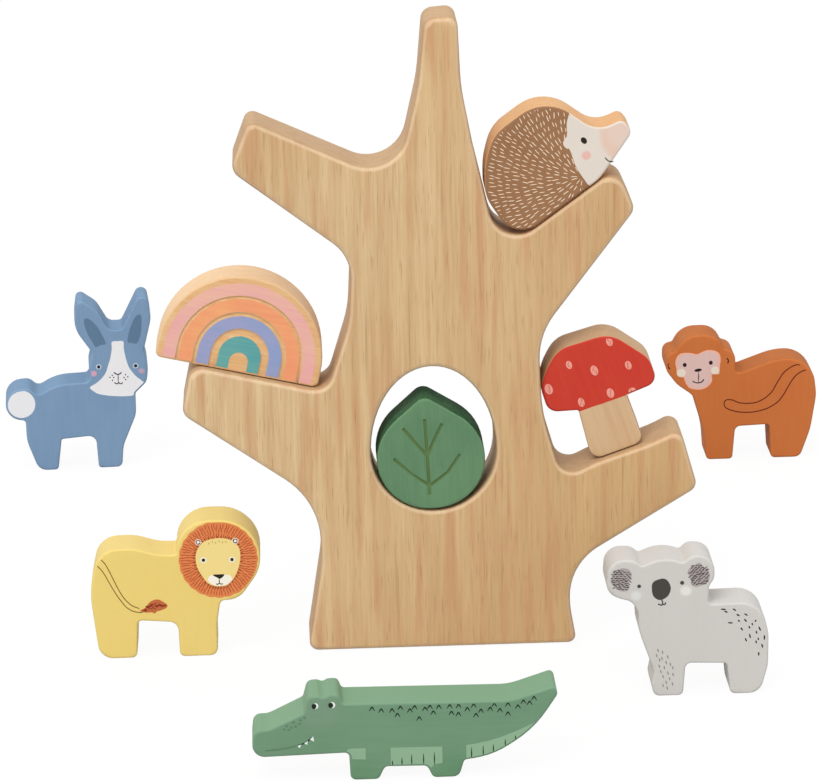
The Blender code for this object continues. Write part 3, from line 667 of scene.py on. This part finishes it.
tuft = curve([(-7.0, 19.8), (-5.0, 20.8), (-3.5, 22.8), (-1.5, 24.0), (0.5, 24.0), (2.8, 22.6), (3.7, 21.5),
              (3.0, 20.4), (1.0, 19.6), (-0.5, 19.2), (-1.5, 18.4), (-2.5, 18.9), (-5.0, 18.9)])
mane_edge = []
for angle in (360 * i / 144 for i in range(144)):
    scallop = 0.35 * abs(math.cos(math.radians(angle * 12)))
    mane_edge.append((around(mane_middle, 15.1 + scallop, angle)[0], around(mane_middle, 15.4 + scallop, angle)[1]))
print_lion("mane", [mane_edge], paint("mane_orange", (226, 131, 76), (236, 152, 96), show=0.7))
dice = random.Random(5)
strokes = []
for near, far, count in ((8.6, 11.1, 62), (10.8, 13.3, 70), (12.6, 15.0, 76)):
    for i in range(count):
        angle = 360 * (i + dice.uniform(-0.2, 0.2)) / count
        middle = (near + far) / 2 + dice.uniform(-0.25, 0.25)
        strokes.append(dash(*around(mane_middle, middle, angle), (far - near) * dice.uniform(0.8, 1.0),
                            angle + dice.uniform(-7, 7), 0.34))
print_lion("mane_strokes", strokes, paint("mane_stroke_rust", (182, 80, 44), show=0.3), less=[head], proud=0.07)
roots = []
for x, z in head[::2]:
    out_x, out_z = x - mane_middle[0], z - mane_middle[1]
    roots.append(dash(x + out_x * 0.05, z + out_z * 0.05, 1.3, math.degrees(math.atan2(out_z, out_x)), 0.32))
print_lion("mane_roots", roots, paint("mane_root_brown", (120, 62, 24), show=0.2), less=[head], proud=0.09)
print_lion("head", [head], paint("lion_head_yellow", (246, 220, 140), (248, 228, 160), show=0.5), proud=0.07)
print_lion("muzzle_and_eye_rings",
           [curve([(19.8, 31.4), (20.6, 33.2), (22.4, 33.6), (24.6, 33.2), (26.8, 33.6), (28.6, 33.0), (29.2, 31.4),
                   (27.2, 29.5), (24.4, 29.1), (21.8, 29.5)]),
            *[oval(x, z, 1.2, 1.2) for x, z in lion_eyes], *[oval(x, z, 1.25, 1.25) for x, z in lion_ears]],
           paint("muzzle_white", (252, 247, 232), (248, 238, 212)), proud=0.09)
print_lion("features",
           [curve([(21.7, 33.6), (24.0, 33.75), (26.1, 33.7), (25.9, 33.0), (24.5, 31.9), (23.5, 32.4)], steps=3),
            *[oval(x, z, 0.68, 0.72) for x, z in lion_eyes], line([(24.2, 31.9), (24.2, 30.8), (24.2, 30.0)], 0.4),
            stroke([(22.9, 29.9), (23.6, 29.7), (24.2, 30.1), (24.9, 29.7), (25.6, 29.9)], 0.38)],
           paint("lion_dark", (36, 30, 16), show=0.15), clipped=False, proud=0.12)
print_lion("ear_rings_and_brow", [line(oval(x, z, 0.8, 0.8)[:-1], 0.4, ends=1.0) for x, z in lion_ears],
           paint("ear_ring_brown", (96, 62, 26), show=0.2), proud=0.11)
print_lion("brow",
           [dash(x, z, 1.0, 92 + (x - 24) * 5, 0.30)
            for x, z in ((20.6, 46.6), (22.0, 47.2), (23.3, 46.8), (24.6, 47.4), (26.0, 46.9), (27.3, 47.0))],
           paint("brow_olive", (190, 158, 80), show=0.3), proud=0.11)
print_lion("tail_line",
           [stroke(points, 0.34)
            for points in ([(-21.5, 41.2), (-20, 39.5), (-18.5, 36.5), (-17, 33), (-15.5, 29.5), (-14, 26.5),
                            (-12.3, 24), (-10.5, 22.2), (-9, 21.3), (-7.2, 20.6)],
                           [(-23.3, 39), (-21.5, 37), (-20, 34.5), (-18.3, 31), (-16.5, 27.5), (-15, 25),
                            (-13.5, 22.8), (-12, 21), (-10, 19.7), (-8, 19.1), (-6, 19)])],
           paint("tail_line_olive", (112, 84, 34), show=0.3), less=[tuft], proud=0.05)
print_lion("tail_tuft", [tuft], paint("tuft_rust", (190, 96, 56), (224, 144, 92), show=0.9))
under_tuft = [(-60, 0), (60, 0), (60, 18.7), (-60, 18.7)]
dice = random.Random(3)
tuft_strokes = []
for t in (i / 37 for i in range(38)):
    up = dice.uniform(-0.6, 2.2) * math.sin(math.pi * min(1.0, t + 0.12))
    tuft_strokes.append(dash(-5.6 + 8.4 * t, 19.6 + 2.0 * t + up, 1.1, 25 + dice.uniform(-35, 35), 0.36))
print_lion("tuft_strokes", tuft_strokes, paint("tuft_stroke", (136, 50, 24), show=0.2), less=[under_tuft],
           proud=0.07)

# ---------------------------------------------------------------------------
# The koala is a block painted warm grey. Hatched grey inner ears, a large dark
# nose, small eyes, pale cheeks and short fur marks are printed on it. It
# stands by itself in front of the tree.
koala_at = stands_at(95.3, -63.3, 0)
print_koala = printer("koala", koala_at)
finish_block("koala",
             paint("koala_grey", (208, 204, 199), (214, 210, 204), wear_and_highlight=0.3, show=0.6, place=koala_at,
                   edge=(204, 202, 199),
                   spots=((-26.2, 40.8, 1.9, 1.8, 0.4, 0.8, (230, 231, 228)),
                          (-7.4, 42.1, 2.1, 1.9, 0.4, 0.9, (238, 236, 231)))))
inner_ears = [curve([(-35.7, 47.2), (-35.1, 48.6), (-34.0, 49.8), (-33.6, 50.8), (-32.4, 51.6), (-31.0, 51.9),
                     (-29.2, 51.5), (-28.3, 50.6), (-27.8, 49.4), (-28.0, 48.2), (-28.7, 47.6), (-28.9, 46.2),
                     (-28.6, 45.0), (-28.8, 43.6), (-29.4, 42.9), (-31.0, 42.6), (-32.6, 43.1), (-34.0, 44.1),
                     (-35.0, 45.2), (-35.6, 46.2)]),
              curve([(-6.6, 50.0), (-5.6, 51.5), (-4.2, 52.3), (-3.0, 53.0), (-1.9, 53.0), (-0.8, 51.6),
                     (0.2, 50.8), (1.1, 49.6), (1.6, 48.5), (1.5, 46.9), (0.9, 45.6), (0.0, 44.8), (-1.2, 44.2),
                     (-3.0, 43.7), (-4.5, 43.8), (-5.3, 44.9), (-5.5, 46.2), (-5.9, 47.6), (-6.5, 48.8)])]
print_koala("inner_ears", inner_ears, paint("inner_ear_grey", (172, 162, 160), (186, 178, 176), show=0.7))
dice = random.Random(9)
hatching = []
for middle_x, middle_z, slope in ((-31.8, 47.2, -12), (-2.5, 48.4, 22)):
    for row in range(-6, 7):
        for column in range(-3, 4):
            x = middle_x + column * 1.35 + (row % 2) * 0.6 + dice.uniform(-0.2, 0.2)
            z = middle_z + row * 0.74 + dice.uniform(-0.12, 0.12)
            if ((x - middle_x) / 3.9) ** 2 + ((z - middle_z) / 4.4) ** 2 < 1.0:
                hatching.append(dash(x, z, dice.uniform(0.9, 1.7), slope + dice.uniform(-30, 30),
                                     dice.uniform(0.28, 0.44)))
print_koala("ear_hatching", hatching, paint("hatch_grey", (58, 50, 50), (96, 88, 86), show=0.7), clipped=False,
            proud=0.07)
print_koala("nose_and_eyes",
            [curve([(-20.2, 43.5), (-20.1, 45.2), (-19.3, 46.3), (-18.0, 46.9), (-16.3, 47.3), (-14.8, 46.9),
                    (-13.8, 45.7), (-13.2, 44.2), (-13.1, 43.0), (-13.5, 41.5), (-14.3, 40.2), (-15.5, 39.3),
                    (-16.5, 38.9), (-17.6, 38.9), (-18.8, 39.5), (-19.7, 40.6), (-20.1, 42.0)]),
             oval(-25.0, 44.5, 0.7, 0.7), oval(-8.8, 45.4, 0.76, 0.76),
             stroke([(-16.5, 38.9), (-16.2, 38.0), (-16.2, 37.2), (-16.6, 36.7), (-17.3, 37.0), (-17.9, 37.2)],
                    0.46),
             stroke([(-16.2, 37.1), (-15.5, 36.9), (-15.1, 37.3), (-15.1, 37.8)], 0.46)],
            paint("koala_charcoal", (66, 64, 59), (84, 82, 76), show=0.5), clipped=False, proud=0.07)
rump = ((6.8, 34.3, 2.0, -5), (7.8, 33.3, 1.5, -20), (11, 34, 1.5, -35), (12.4, 31.8, 1.5, -30),
        (15.4, 31.9, 1.5, -30), (9.5, 28.8, 1.9, -5), (12.7, 29.5, 1.0, -45), (15.2, 29.6, 1.5, -50),
        (19, 29.3, 0.9, 60), (17.8, 28, 1.0, -75), (16.7, 26.8, 1.1, -65), (13.8, 26.2, 1.4, -55),
        (20.6, 26.1, 1.9, -65), (19.4, 24.7, 1.2, -75), (16.9, 23.3, 1.8, -75), (22.4, 22.5, 2.0, -90),
        (15.4, 21.8, 1.5, -70), (20.1, 22, 1.0, -85), (19.3, 20.8, 1.2, -80), (21.6, 19.2, 1.7, -75),
        (20.3, 16, 1.5, -90))
print_koala("rump_marks", [dash(x, z, length, angle, 0.54) for x, z, length, angle in rump],
            paint("fur_mark_dark", (40, 38, 35), show=0.1))
leg_marks = ((-18.4, 16.5), (-16.2, 17.8), (-17.3, 14.7), (-16.4, 15.3), (-14.8, 13.6), (-15.5, 11.6),
             (-12.3, 11.4), (-14.1, 9.4), (-16.0, 8.0), (-13.5, 7.0), (-16.0, 4.4), (-17.4, 12.2), (-14.2, 15.9),
             (-13.2, 12.9), (-16.8, 10.0), (-12.2, 8.7), (-14.8, 5.6), (-12.4, 4.9), (-14.4, 3.3), (-17.9, 18.6))
print_koala("leg_marks", [dash(x, z, 1.4, -78, 0.44) for x, z in leg_marks],
            paint("fur_mark_faint", (138, 135, 129), show=0.2))

# ---------------------------------------------------------------------------
# The crocodile is a long block painted leaf green. Paler belly panels ruled
# with thin lines, small chevrons along the back, eyes, a mouth line and three
# teeth are printed on it. It stands by itself at the very front.
crocodile_at = stands_at(-21.3, -136.9, 0)
print_crocodile = printer("crocodile", crocodile_at)
# its sides and top are a paler green, which is painted light
finish_block("crocodile",
             paint("crocodile_green", (109, 145, 115), (126, 160, 130), wear_and_highlight=0.5, show=0.6, place=crocodile_at,
                   along_foot=True, edge=(124, 161, 129),
                   spots=((-30.5, 27.0, 7.0, 6.0, 0.6, 0.5, (126, 150, 126)),
                          (-14.5, 0.5, 7.5, 7.5, 0.6, 0.6, (92, 138, 98)),
                          (17.5, 0.5, 7.5, 7.5, 0.6, 0.6, (92, 138, 98)))))
print_crocodile("belly",
                [[(-21.3, 10.6), (-20.5, 12.0), (-19.5, 12.4), (-14.0, 12.4), (-14.0, 8.0), (-19.2, 8.3),
                  (-19.3, 9.6), (-20.3, 10.3)],
                 [(-5, 0), (-5, 12.3), (13.6, 12.1), (13.6, 5.8), (11, 5.3), (9.3, 4.0), (9.3, 0)],
                 [(22.2, 3), (22.2, 12.4), (26, 12.9), (30, 13.7), (34, 14.8), (38, 16.3), (42, 17.9), (45.5, 19.6),
                  (48, 21), (50, 18), (45, 8), (30, 2)]],
                paint("belly_green", (141, 176, 143), (152, 186, 152)))
chevrons = ((-11.4, 28.2), (-8.1, 26.7), (-4.2, 26.6), (-2.3, 24.8), (-1.2, 28.6), (2.2, 26.4), (3.9, 27.5),
            (5.5, 23.2), (7.6, 26.8), (9.4, 28.7), (10.6, 25.3), (12.6, 27.4), (16.5, 27.7), (17.1, 24.9),
            (19.6, 24.4), (19.7, 28.0), (22.8, 26.2), (25.1, 27.7), (25.9, 23.8), (27.7, 25.4), (31.0, 26.0),
            (32.5, 27.7), (34.5, 25.4), (37.4, 27.6), (37.4, 24.0), (41.0, 27.0), (43.0, 28.8), (45.2, 28.3),
            (46.8, 30.0))
chevrons = [(x, min(z, 27.5) if x < 38 else z - 0.4) for x, z in chevrons]      # clear of the back's edge
rulings = ((-4.4, 5.0, 7.3), (-1.0, 5.2, 8.3), (2.5, 4.8, 9.4), (6.8, 5.0, 9.6), (10.7, 5.0, 10.0),
           (24.1, 6.6, 11.4), (28.3, 7.6, 12.0), (32.0, 9.0, 12.3), (36.3, 11.4, 14.2), (40.0, 13.5, 15.5))
print_crocodile("marks",
                [line([(x - 0.95, z - 0.80), (x - 0.1, z + 0.60), (x + 0.1, z + 0.60), (x + 0.95, z - 0.80)], 0.52)
                 for x, z in chevrons]
                + [line([(x, low), (x, (low + high) / 2), (x, high)], 0.44) for x, low, high in rulings]
                + [stroke([(-38.5, 14.2), (-36.0, 15.0), (-34.5, 16.0), (-33.0, 17.3)], 0.42)],
                paint("mark_dark_green", (16, 40, 22), show=0.1), proud=0.07)
print_crocodile("mouth_shade",
                [stroke([(-50.0, 12.6), (-47.0, 12.8), (-44.0, 13.1), (-41.0, 13.6), (-38.5, 14.2)], 0.5)]
                + [oval(x, z, 0.5, 0.4, count=14)
                   for x, z in ((-43.0, 20.6), (-42.1, 21.8), (-41.4, 20.3), (-40.5, 21.2), (-39.6, 23.2),
                                (-38.9, 21.6), (-37.4, 22.6), (-37.0, 23.9), (-35.6, 24.8))],
                paint("snout_shade", (92, 122, 92)))
print_crocodile("eyes_and_teeth",
                [oval(-31.6, 29.15, 1.05, 1.1), oval(-25.6, 29.35, 1.1, 1.15),
                 [(-38.5, 14.1), (-37.0, 14.6), (-37.6, 13.2)], [(-36.0, 15.0), (-34.7, 15.9), (-34.9, 14.4)],
                 [(-33.9, 16.4), (-32.7, 17.6), (-32.4, 15.6)]],
                paint("eye_white", (236, 243, 236), (226, 236, 226), show=0.3), proud=0.09)
print_crocodile("pupils", [oval(-32.1, 29.1, 0.85, 1.0), oval(-26.1, 29.3, 0.9, 1.0)],
                paint("pupil_black", (22, 28, 24), show=0.1), clipped=False, proud=0.12)

# ---------------------------------------------------------------------------
# The floor is a plain white sheet under soft studio light. The camera sees it
# as white, with the faint shadow of the pieces on it. The camera is the one that
# was fitted to the photo: 1.52 m away, 17 degrees above and 2 degrees left.
floor_half = 6            # metres
plain_white = 0.94        # its share in what the camera sees of the floor; the rest takes the shadows


def light_path(tree):
    """Two masks: what the camera sees straight, and that with what it sees in a gloss."""
    path = add(tree, "LightPath")
    bent = maths(tree, "MAXIMUM", path["Is Glossy Ray"], path["Is Transmission Ray"])
    return path["Is Camera Ray"], maths(tree, "MAXIMUM", path["Is Camera Ray"], bent)


floor_mesh = bpy.data.meshes.new("floor")
floor_mesh.from_pydata([(x * floor_half, y * floor_half, 0) for x, y in ((-1, -1), (1, -1), (1, 1), (-1, 1))], [],
                       [(0, 1, 2, 3)])
floor = new_object("floor", floor_mesh)
floor_white = bpy.data.materials.new("floor_white")
floor_white.use_nodes = True
tree = floor_white.node_tree
tree.nodes.clear()
straight, seen = light_path(tree)
# greyer for the light that it throws up on the pieces than for the camera
sheet = add(tree, "BsdfDiffuse", Color=blended(tree, straight, (0.52, 0.52, 0.52, 1), (0.95, 0.95, 0.95, 1)))[0]
glow = add(tree, "Emission", Color=(1, 1, 1, 1), Strength=1.0)[0]
mixed = add(tree, "MixShader", i0=maths(tree, "MULTIPLY", seen, plain_white), i1=sheet, i2=glow)[0]
add(tree, "OutputMaterial", Surface=mixed)
floor_mesh.materials.append(floor_white)

studio = bpy.data.worlds.new("studio")
bpy.context.scene.world = studio
studio.use_nodes = True
tree = studio.node_tree
tree.nodes.clear()
# the light on the pieces is a little weaker than the white that is seen behind them
lit, white = (add(tree, "Background", Color=(1, 1, 1, 1), Strength=strength)[0] for strength in (0.80, 1.0))
add(tree, "OutputWorld", Surface=add(tree, "MixShader", i0=light_path(tree)[1], i1=lit, i2=white)[0])

key_data = bpy.data.lights.new("key", "SUN")
key_data.energy = 1.5
key_data.angle = math.radians(35)
key = new_object("key", key_data)
key_shines_to = Vector((0.25, 0.55, -0.80))
key.rotation_euler = key_shines_to.to_track_quat("-Z", "Y").to_euler()

photo_width, focal_length = 819, 3942         # pixels
camera_place = (-0.06080, -1.46491, 0.54401)  # metres
camera_data = bpy.data.cameras.new("camera")
camera_data.sensor_width = 36.0
camera_data.lens = camera_data.sensor_width * focal_length / photo_width
azimuth, elevation, roll = math.radians(-1.9), math.radians(16.8), math.radians(1.1)
level = Vector((math.cos(azimuth), math.sin(azimuth), 0))
away = Vector((math.sin(azimuth), -math.cos(azimuth), 0))
backward = away * math.cos(elevation) + Vector((0, 0, math.sin(elevation)))
upright = backward.cross(level)
sideways = level * math.cos(roll) - upright * math.sin(roll)
upward = upright * math.cos(roll) + level * math.sin(roll)
camera = new_object("camera", camera_data)
camera.matrix_world = Matrix.Translation(camera_place) @ Matrix((sideways, upward, backward)).transposed().to_4x4()
bpy.context.scene.camera = camera
bpy.context.scene.view_settings.view_transform = "Standard"

bpy.context.view_layer.update()
